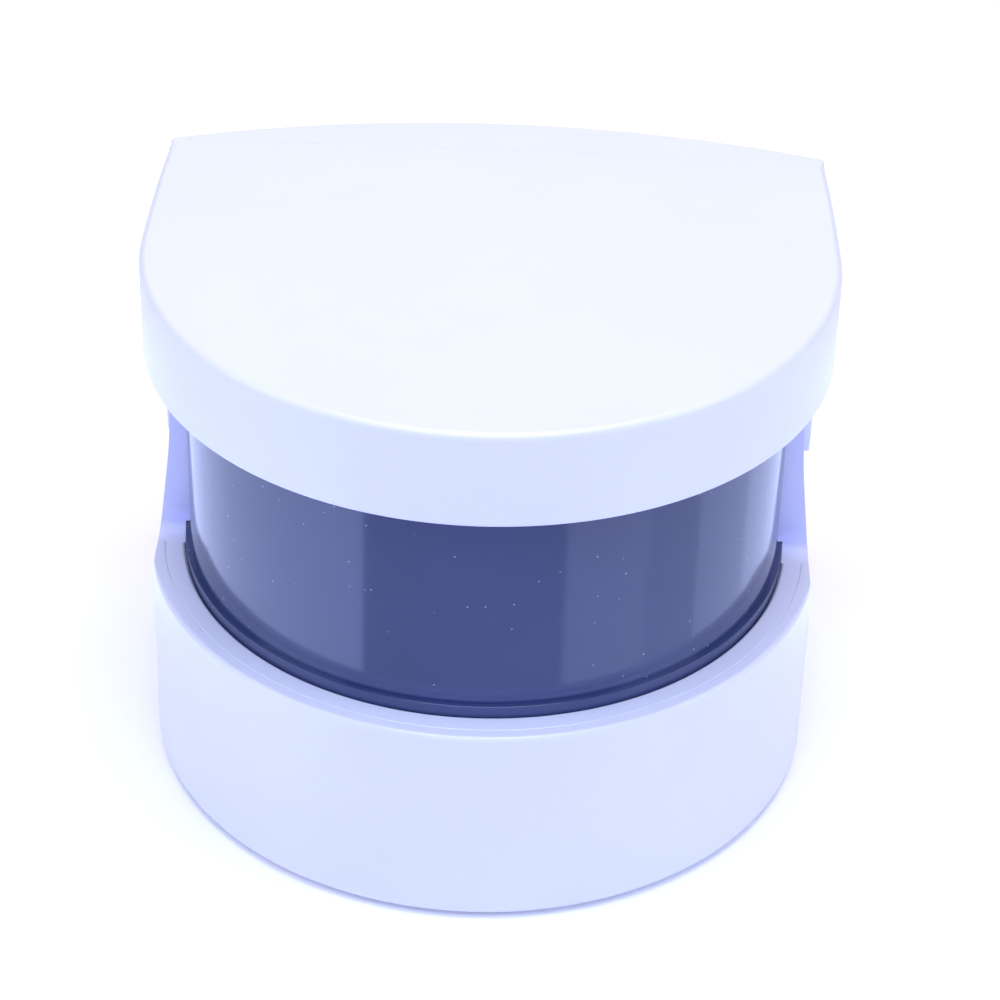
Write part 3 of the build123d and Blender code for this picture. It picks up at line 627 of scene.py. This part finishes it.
def add_specks(finish, colour, fineness, size, share):
    """Lay dust over a finish that is already made."""
    tree = finish.node_tree
    shader = tree.nodes["Principled BSDF"]
    under = shader.inputs["Base Color"].links[0].from_socket
    dust = place(tree, "ShaderNodeGroup", {"Fineness": fineness, "Size": size, "Share": share},
                 node_tree=specks)
    over = place(tree, "ShaderNodeMix", {"Factor": dust.outputs[0], "A": under}, data_type="RGBA")
    over.inputs["B"].default_value = (*colour, 1)
    tree.links.new(over.outputs["Result"], shader.inputs["Base Color"])


dark_gloss = new_finish("dark_gloss", (0.05, 0.070, 0.175), 0.10, spread=0.04, fineness=700,
                        depth=0.0000012, amount=0.12, tone_fineness=25, Specular_IOR_Level=0.75)
add_specks(dark_gloss, (0.24, 0.28, 0.44), fineness=420, size=0.065, share=0.8)
finish_piece(housing, "case", "dark_gloss", dark_gloss, "tank_housing")

# Deck ring
# The white deck under the housing. Along the front it stands up as a narrow rounded
# crown between the housing's flange and the case's rim.
crown_inner, crown_outer = 47.75 * mm, 50.97 * mm
crown_z, deck_under_z = rim_z, 31.6 * mm
crown_short, crown_inner_round, crown_outer_round = 0.6 * mm, 0.5 * mm, 0.3 * mm
crown_turn = (arc_y - arm_foot_y - crown_short) / crown_outer
deck_gap, disc_hole_radius = 0.15 * mm, 26 * mm
deck = upright("deck_crown", wall + deck_gap, deck_under_z, deck_top_z)
pick_all()
bpy.ops.mesh.bisect(plane_co=(0, arm_y - deck_gap, 0), plane_no=(0, 1, 0), clear_outer=True,
                    use_fill=True)
rear_deck = upright("rear_deck", housing_inset + deck_gap, deck_under_z, deck_top_z,
                    housing_corner)
use_modifier(deck, "BOOLEAN", operation="UNION", solver="EXACT", object=rear_deck)
bpy.data.objects.remove(rear_deck)
cut(deck, rod("disc_hole", disc_hole_radius, (0, 0, 20 * mm), (0, 0, 40 * mm), 96))
crown_root = 0.5 * mm
crown = block("crown", (crown_inner, arc_y - near, deck_top_z - crown_root),
              (crown_outer, arc_y, crown_z))
sweep_front(crown, (crown_inner, crown_z, crown_inner_round),
            (crown_outer, crown_z, crown_outer_round))
pick_all()
bpy.ops.mesh.bisect(plane_co=(0, arc_y - crown_outer * sin(crown_turn), 0), plane_no=(0, 1, 0),
                    clear_outer=True, use_fill=True)
face_outward()
take_up(crown)
deck.select_set(True)
bpy.context.view_layer.objects.active = deck
bpy.ops.object.join()
finish_piece(deck, "case", "white_shell", white_shell, "deck_ring")

# Wash tank
# A bowl drawn from thin stainless sheet, with a bent floor edge and a flat lip that
# hangs in the housing's seat on a rubber ring. Its inside is brushed round and round.


def turned(name, outline, steps=128):
    """A round piece turned about Z from a closed outline of radius, height and bend."""
    nothing_chosen()
    bpy.ops.mesh.primitive_plane_add(size=1 * mm)
    piece = bpy.context.object
    piece.name = name
    pick("VERT", lambda v: v.x > 0 or v.y > 0)
    bpy.ops.mesh.delete(type="VERT")
    pick_all()
    now = piece.data.vertices[0].co.copy()
    for index, (radius, height, bend) in enumerate(outline + outline[:1]):
        corner = Vector((radius * mm, 0, height * mm))
        if index == 0:
            bpy.ops.transform.translate(value=corner - now)
        else:
            bpy.ops.mesh.extrude_region_move(TRANSFORM_OT_translate={"value": corner - now})
        now = corner
    pick_all()
    bpy.ops.mesh.remove_doubles(threshold=hair / 10)
    bpy.ops.mesh.edge_face_add()
    for radius, height, bend in outline:
        if bend:
            corner = Vector((radius * mm, 0, height * mm))
            pick("VERT", lambda v: (v - corner).length < hair / 10)
            bpy.ops.mesh.bevel(affect="VERTICES", offset=bend * mm, segments=8 if bend > 1 else 4)
    pick_all()
    bpy.ops.mesh.delete(type="ONLY_FACE")
    pick_all()
    bpy.ops.mesh.spin(steps=steps, angle=2 * pi, axis=(0, 0, 1), center=(0, 0, 0))
    pick_all()
    bpy.ops.mesh.remove_doubles(threshold=hair / 10)
    bpy.ops.mesh.delete_loose()
    face_outward()
    bpy.ops.object.mode_set(mode="OBJECT")
    return piece


sheet, bowl_inner, lip_outer = tank_sheet / mm, tank_radius / mm, lip_radius / mm
bowl_outer, bowl_under, bowl_top = bowl_inner + sheet, tank_low.z / mm, tank_high.z / mm
bowl_floor, floor_bend = bowl_under + sheet, 6.4
tank = turned("steel_tank", [(0, bowl_floor - sheet, 0),
                             (bowl_outer, bowl_floor - sheet, floor_bend + sheet),
                             (bowl_outer, bowl_top - sheet, 0.3), (lip_outer, bowl_top - sheet, 0),
                             (lip_outer, bowl_top, 0.2), (bowl_inner, bowl_top, 0.45),
                             (bowl_inner, bowl_floor, floor_bend), (0, bowl_floor, 0)], 160)


def brushed_effect():
    """Hair-fine lines that run round the middle of a turned or spun piece, as a normal."""
    group, enter, leave = new_effect("brushed_round", (("Fineness", "NodeSocketFloat", 9000),
                                     ("Depth", "NodeSocketFloat", 0.000004)),
                                     ("Normal", "NodeSocketVector"))
    spot = place(group, "ShaderNodeTexCoord", {}).outputs["Object"]
    flat = place(group, "ShaderNodeVectorMath", {0: spot, 1: (1, 1, 0)}, operation="MULTIPLY")
    out = place(group, "ShaderNodeVectorMath", {0: flat.outputs["Vector"]}, operation="LENGTH")
    along = place(group, "ShaderNodeSeparateXYZ", {"Vector": spot})
    line = place(group, "ShaderNodeCombineXYZ", {"X": out.outputs["Value"],
                                                 "Z": along.outputs["Z"]})
    noise = place(group, "ShaderNodeTexNoise", {"Vector": line.outputs["Vector"], "Detail": 3,
                                                "Scale": enter["Fineness"], "Roughness": 0.7})
    bump = place(group, "ShaderNodeBump", {"Distance": enter["Depth"],
                                           "Height": noise.outputs["Fac"]})
    group.links.new(bump.outputs["Normal"], leave)
    return group


brushed = brushed_effect()


def brush(finish, fineness, depth):
    """Give a metal finish brushed lines in place of its grain."""
    tree = finish.node_tree
    lines = place(tree, "ShaderNodeGroup", {"Fineness": fineness, "Depth": depth},
                  node_tree=brushed)
    tree.links.new(lines.outputs[0], tree.nodes["Principled BSDF"].inputs["Normal"])


tank_steel = new_finish("tank_steel", (0.62, 0.62, 0.61), 0.2, spread=0.1, amount=0.08,
                        Metallic=1.0)
brush(tank_steel, fineness=6000, depth=0.000012)
finish_piece(tank, "case", "tank_steel", tank_steel, "wash_tank")

# Tank gasket
# A flat ring of soft black rubber, punched from sheet and laid in the housing's seat
# under the tank's lip.
soft_rubber = new_finish("soft_rubber", (0.035, 0.036, 0.04), 0.62, spread=0.15, fineness=1800,
                         depth=0.00003, amount=0.3, tone_fineness=90)
finish_nodes(soft_rubber, "tank_gasket")

# Transducer
# A cast metal plate bonded under the tank, and a fired ceramic disc bonded to it, with
# the worn grey of its silver coat.
cast_alloy = new_finish("cast_alloy", (0.55, 0.56, 0.58), 0.42, spread=0.14, fineness=900,
                        depth=0.00004, amount=0.15, tone_fineness=60, Metallic=1.0)
finish_nodes(cast_alloy, "transducer_plate")
ceramic = new_finish("ceramic", (0.60, 0.58, 0.52), 0.48, fineness=1500, depth=0.00001,
                     amount=0.2, tone_fineness=110)
finish_nodes(ceramic, "transducer_disc")

# Basket
# A lift-out moulding of pale grey plastic: a round cup with a rolled lip, upright slots
# round its wall, radial slots in its floor, and three feet to stand it off the tank.
basket_low, basket_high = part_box("basket")
stub_height, lip_height, basket_wall = 1.8, 1.8, 1.4
basket_outer, basket_inner, basket_lip = 33.6, 32.2, basket_high.x / mm
basket_floor, basket_top = basket_low.z / mm + stub_height, basket_high.z / mm
basket = turned("cleaning_basket", [(0, basket_floor, 0), (basket_outer, basket_floor, 3.9),
                                    (basket_outer, basket_top - lip_height, 0.3),
                                    (basket_lip, basket_top - lip_height, 0.3),
                                    (basket_lip, basket_top, 0.6), (basket_inner, basket_top, 0.5),
                                    (basket_inner, basket_floor + basket_wall, 3.2),
                                    (0, basket_floor + basket_wall, 0)])


def round_ended(name, low, high, axis):
    """A slot cutter: a block with its ends rounded about one axis."""
    piece = block(name, low, high)
    pick("EDGE", lambda a, b: abs((b - a).normalized()[axis]) > 0.9)
    bpy.ops.mesh.bevel(offset=slot_round, segments=8, profile=0.5)
    return piece


def repeat_round(piece, count, first_turn):
    """Turn the piece by its first turn, then repeat it evenly round Z."""
    take_up(piece)
    piece.rotation_euler = (0, 0, first_turn)
    bpy.ops.object.transform_apply(location=True, rotation=True, scale=True)
    pick_all()
    bpy.ops.mesh.spin(steps=count - 1, angle=2 * pi * (count - 1) / count, dupli=True,
                      axis=(0, 0, 1), center=(0, 0, 0))
    bpy.ops.object.mode_set(mode="OBJECT")
    return piece


slot_half, slot_round = 2.1 * mm, 2.05 * mm
slot_above_floor, slot_below_top, wall_slots, floor_slots = 5.4, 3.6, 12, 6
wall_slot_start, wall_slot_end = 30 * mm, 36 * mm
floor_slot_start, floor_slot_end, below_floor, above_floor = 9 * mm, 24.2 * mm, 1, 3
wall_slot = round_ended("wall_slot",
                        (wall_slot_start, -slot_half, (basket_floor + slot_above_floor) * mm),
                        (wall_slot_end, slot_half, (basket_top - slot_below_top) * mm), 0)
cut(basket, repeat_round(wall_slot, wall_slots, pi / wall_slots))
floor_slot = round_ended("floor_slot",
                         (floor_slot_start, -slot_half, (basket_floor - below_floor) * mm),
                         (floor_slot_end, slot_half, (basket_floor + above_floor) * mm), 2)
cut(basket, repeat_round(floor_slot, floor_slots, 0))
stub_radius, stub_root, stub_spot, stubs = 1.6, 0.3, 4.5 * mm, 3
stub = turned("basket_stub", [(0, basket_low.z / mm, 0), (stub_radius, basket_low.z / mm, 0.4),
                              (stub_radius, basket_floor + stub_root, 0),
                              (0, basket_floor + stub_root, 0)], 32)
stub.location.x = stub_spot
bpy.ops.object.transform_apply(location=True, rotation=True, scale=True)
repeat_round(stub, stubs, 0)
take_up(stub)
basket.select_set(True)
bpy.context.view_layer.objects.active = basket
bpy.ops.object.join()
basket_plastic = new_finish("basket_plastic", (0.62, 0.65, 0.69), 0.34, fineness=2600,
                            depth=0.00001, amount=0.04)
finish_piece(basket, "basket", "basket_plastic", basket_plastic, "basket")

# Lid liner and bumpers
# The flat white panel screwed up into the lid closes it from below. Two soft pads on it
# meet the housing's roof when the lid is shut.
white_inner = new_finish("white_inner", (0.72, 0.76, 0.86), 0.42, fineness=2200, depth=0.000012,
                         amount=0.04)
finish_nodes(white_inner, "lid_liner")
finish_nodes(soft_rubber, "lid_bumpers")

# Screws
# Plated steel screws with pan heads and a cross recess. The long ones clamp the cover,
# the case and the deck; four short ones hold the liner in the lid.


def cross_cutter(middle_z, reach, width, depth):
    """Two crossed blocks that press the cross recess into a head."""
    flat = block("recess", (-reach, -width, middle_z - depth), (reach, width, middle_z + depth))
    upright_bar = block("recess_bar", (-width, -reach, middle_z - depth),
                        (width, reach, middle_z + depth))
    use_modifier(flat, "BOOLEAN", operation="UNION", solver="EXACT", object=upright_bar)
    bpy.data.objects.remove(upright_bar)
    return flat


def copy_to(piece, spots):
    """One piece of copies of this one at these plan positions, each with its own mesh."""
    name, copies = piece.name, []
    for x, y in spots:
        take_up(piece)
        bpy.ops.object.duplicate(linked=False)
        twin = bpy.context.object
        twin.location = (x, y, 0)
        # Each copy stands at a turn of its own, as screws driven home do.
        twin.rotation_euler = (0, 0, 40 * x + 70 * y)
        bpy.ops.object.transform_apply(location=True, rotation=True, scale=True)
        copies.append(twin)
    bpy.data.objects.remove(piece)
    nothing_chosen()
    for twin in copies:
        twin.select_set(True)
    bpy.context.view_layer.objects.active = copies[0]
    bpy.ops.object.join()
    copies[0].name = name
    return copies[0]


def four_spots(front_x, front_y, rear_x, rear_y):
    """A front pair and a rear pair of plan positions."""
    return [(side * x, y) for side in (1, -1) for x, y in ((front_x, front_y), (rear_x, rear_y))]


screw_steel = new_finish("screw_steel", (0.56, 0.56, 0.57), 0.28, spread=0.12, fineness=3000,
                         depth=0.000008, amount=0.2, tone_fineness=300, Metallic=1.0)
screw_foot, head_top, screw_tip, head_radius, shank_radius = 1.2, 3.0, 32.3, 2.8, 1.5
case_screw = turned("cover_screws", [(0, screw_foot, 0), (head_radius, screw_foot, 0.7),
                                     (head_radius, head_top, 0.1), (shank_radius, head_top, 0),
                                     (shank_radius, screw_tip, 0.6), (0, screw_tip, 0)], 40)
cut(case_screw, cross_cutter(screw_foot * mm, reach=1.5 * mm, width=0.32 * mm, depth=0.9 * mm))
case_screws = copy_to(case_screw, four_spots(front_radius - 9 * mm, arc_y - 11.5 * mm,
                                             front_radius - 9.6 * mm, arc_y + 16.5 * mm))
finish_piece(case_screws, "case", "screw_steel", screw_steel, "case_screws")
screw_foot, head_top, screw_tip, head_radius, shank_radius = 76.0, 77.2, 82.2, 2.1, 1.1
liner_screw = turned("panel_screws", [(0, screw_foot, 0), (head_radius, screw_foot, 0.6),
                                      (head_radius, head_top, 0.1), (shank_radius, head_top, 0),
                                      (shank_radius, screw_tip, 0.4), (0, screw_tip, 0)], 40)
cut(liner_screw, cross_cutter(screw_foot * mm, reach=1.2 * mm, width=0.27 * mm, depth=0.7 * mm))
liner_screws = copy_to(liner_screw, four_spots(front_radius - 19 * mm, arc_y - 23.5 * mm,
                                               front_radius - 17 * mm, arc_y + 26.5 * mm))
finish_piece(liner_screws, "lid", "screw_steel", screw_steel, "liner_screws")
finish_nodes(screw_steel, "tank_screws", "board_screws", "hinge_pins")

# Rubber feet
# Four round feet of soft dark rubber, each with a shallow dish in its sole, glued into
# recesses of the bottom cover.
dish_depth, dish_radius, sole_radius, foot_radius, foot_height = 0.3, 2.3, 2.8, 4, 2
foot = turned("soft_feet", [(0, dish_depth, 0), (dish_radius, dish_depth, 0.3),
                            (sole_radius, 0, 0.2), (foot_radius, 0, 0.5),
                            (foot_radius, foot_height, 0), (0, foot_height, 0)], 48)
feet = copy_to(foot, four_spots(front_radius - 17.4 * mm, arc_y - 27.5 * mm,
                                front_radius - 17 * mm, arc_y + 25.5 * mm))
finish_piece(feet, "case", "soft_rubber", soft_rubber, "rubber_feet")

# Bottom cover and battery door
# The case's floor and the door in it, moulded in the same white plastic as the shells
# but left with the coarser texture of their tools.
white_rough = new_finish("white_rough", (0.70, 0.745, 0.87), 0.45, fineness=1500, depth=0.00003,
                         amount=0.04)
finish_nodes(white_rough, "bottom_cover", "battery_door")

# Batteries
# Four round cells side by side, each in a dark printed sleeve that leaves its metal ends
# bare, and the plated strips and leaves that join them.


def banded(finish, axis, half_length, colour):
    """Another colour past a distance from the middle along one axis."""
    tree = finish.node_tree
    shader = tree.nodes["Principled BSDF"]
    under = shader.inputs["Base Color"].links[0].from_socket
    spot = place(tree, "ShaderNodeTexCoord", {}).outputs["Object"]
    parts = place(tree, "ShaderNodeSeparateXYZ", {"Vector": spot})
    size = place(tree, "ShaderNodeMath", {0: parts.outputs[axis]}, operation="ABSOLUTE")
    past = place(tree, "ShaderNodeMath", {0: size.outputs["Value"], 1: half_length},
                 operation="GREATER_THAN")
    over = place(tree, "ShaderNodeMix", {"Factor": past.outputs["Value"], "A": under},
                 data_type="RGBA")
    over.inputs["B"].default_value = (*colour, 1)
    tree.links.new(over.outputs["Result"], shader.inputs["Base Color"])
    return past.outputs["Value"]


cell_case = new_finish("cell_case", (0.03, 0.05, 0.09), 0.25, fineness=1200, depth=0.00001,
                       amount=0.15, tone_fineness=120)
sleeve_half_length = 21.5 * mm
bare_end = banded(cell_case, "Y", sleeve_half_length, (0.55, 0.54, 0.50))
cell_shader = cell_case.node_tree.nodes["Principled BSDF"]
cell_case.node_tree.links.new(bare_end, cell_shader.inputs["Metallic"])
finish_nodes(cell_case, "battery_cells")
contact_metal = new_finish("contact_metal", (0.66, 0.64, 0.58), 0.25, spread=0.15, fineness=2200,
                           depth=0.00001, amount=0.15, tone_fineness=150, Metallic=1.0)
finish_nodes(contact_metal, "battery_contacts")

# Circuit board
# A green laminate board screwed over the battery box, with a wound coil, two cans, a
# power transistor, a small controller, two sockets and the push switch soldered to it.
laminate = new_finish("board_laminate", (0.02, 0.13, 0.06), 0.38, fineness=1800, depth=0.00001,
                      amount=0.2, tone_fineness=200)
finish_nodes(laminate, "circuit_board")
coil_wire = new_finish("coil_wire", (0.50, 0.20, 0.08), 0.3, amount=0.25, tone_fineness=400,
                       Metallic=1.0)
brush(coil_wire, fineness=2600, depth=0.00012)
finish_nodes(coil_wire, "board_coil")
capacitor_can = new_finish("capacitor_can", (0.02, 0.03, 0.08), 0.3, fineness=2000,
                           depth=0.00001, amount=0.15, tone_fineness=200)
finish_nodes(capacitor_can, "board_capacitors")
black_package = new_finish("black_package", (0.02, 0.02, 0.022), 0.5, fineness=4000,
                           depth=0.00003, amount=0.2, tone_fineness=300)
finish_nodes(black_package, "power_transistor", "control_chip", "switch_body")
socket_plastic = new_finish("socket_plastic", (0.70, 0.66, 0.55), 0.4, fineness=3000,
                            depth=0.00001, amount=0.06)
finish_nodes(socket_plastic, "lead_sockets", "switch_plunger")
lead_jacket = new_finish("lead_jacket", (0.35, 0.03, 0.025), 0.45, fineness=2400, depth=0.00002,
                         amount=0.12, tone_fineness=150)
finish_nodes(lead_jacket, "transducer_lead", "battery_lead")

# Power button
# A round push button in the rear wall, moulded in pale plastic, with a dished face, a
# flange behind the wall and a stem that holds the switch's plunger.
behind_wall, flange_sheet, plunger_depth = 2.3, 1, 1
plunger_radius, stem_radius, flange_radius, cap_radius = 1.7, 2.8, 6.2, button_radius / mm
dish_rim, dish_edge, dish_edge_depth, dish_depth = 4.1, 3.6, 0.35, 0.55
wall_y, face_y = rear_y / mm - behind_wall, button_high.y / mm
stem_y = button_low.y / mm
button = turned("push_button", [(0, stem_y + plunger_depth, 0),
                                (plunger_radius, stem_y + plunger_depth, 0),
                                (plunger_radius, stem_y, 0), (stem_radius, stem_y, 0.2),
                                (stem_radius, wall_y - flange_sheet, 0),
                                (flange_radius, wall_y - flange_sheet, 0.2),
                                (flange_radius, wall_y, 0.1), (cap_radius, wall_y, 0),
                                (cap_radius, face_y, 0.5), (dish_rim, face_y, 0.35),
                                (dish_edge, face_y - dish_edge_depth, 0.3),
                                (0, face_y - dish_depth, 0)], 96)
button.rotation_euler = (radians(-90), 0, 0)
button.location = (0, 0, switch_z)
take_up(button)
bpy.ops.object.transform_apply(location=True, rotation=True, scale=True)
button_plastic = new_finish("button_plastic", (0.66, 0.72, 0.88), 0.28, fineness=3000,
                            depth=0.000006, amount=0.03, Coat_Weight=0.2, Coat_Roughness=0.2)
finish_piece(button, "button", "button_plastic", button_plastic, "power_button")

# Mirrored cards
# Bright and dark cards low in front of the case, as a studio sets them. Only polished
# faces mirror them, and they draw the light and dark bands that the housing shows.
card_z, mirrored_low_z, mirrored_high_z = 2 * mm, 30 * mm, 95 * mm
housing_radius = front_radius - housing_inset


def mirrored_spot(turn, height):
    """The spot at card height that the camera sees in the housing at a turn and height."""
    run = (height - card_z) / tan(camera_height)
    return Vector((housing_radius * sin(turn) + run * sin(2 * turn),
                   arc_y - housing_radius * cos(turn) - run * cos(2 * turn), card_z))


def card(name, low_turn, high_turn, strength, tint):
    """One glowing card that fills the housing's mirror image between two turns."""
    nothing_chosen()
    bpy.ops.mesh.primitive_grid_add(x_subdivisions=12, y_subdivisions=1, size=2)
    piece = bpy.context.object
    piece.name = name
    for vertex in piece.data.vertices:
        share = (vertex.co.x + 1) / 2
        turn = radians(low_turn + (high_turn - low_turn) * share)
        vertex.co = mirrored_spot(turn, mirrored_low_z if vertex.co.y < 0 else mirrored_high_z)
    glow = bpy.data.materials.new(name)
    glow.use_nodes = True
    shader = glow.node_tree.nodes["Principled BSDF"]
    shader.inputs["Base Color"].default_value = (0, 0, 0, 1)
    shader.inputs["Emission Color"].default_value = (*tint, 1)
    shader.inputs["Emission Strength"].default_value = strength
    piece.data.materials.append(glow)
    for rays in ("camera", "diffuse", "transmission", "volume_scatter", "shadow"):
        setattr(piece, "visible_" + rays, False)


card("left_outer_card", -86, -58, 2.4, (0.56, 0.64, 1.0))
card("left_card", -58, -22.2, 2.3, (0.55, 0.65, 1.0))
card("middle_card", -22.2, 16.2, 0.7, (0.64, 0.72, 0.86))
card("strip_card", 16.2, 33, 1.45, (0.63, 0.72, 0.98))
card("right_inner_card", 33, 45, 1.15, (0.62, 0.71, 0.98))
card("right_card", 45, 60, 1.85, (0.57, 0.66, 1.0))
card("right_outer_card", 60, 86, 2.4, (0.56, 0.64, 1.0))
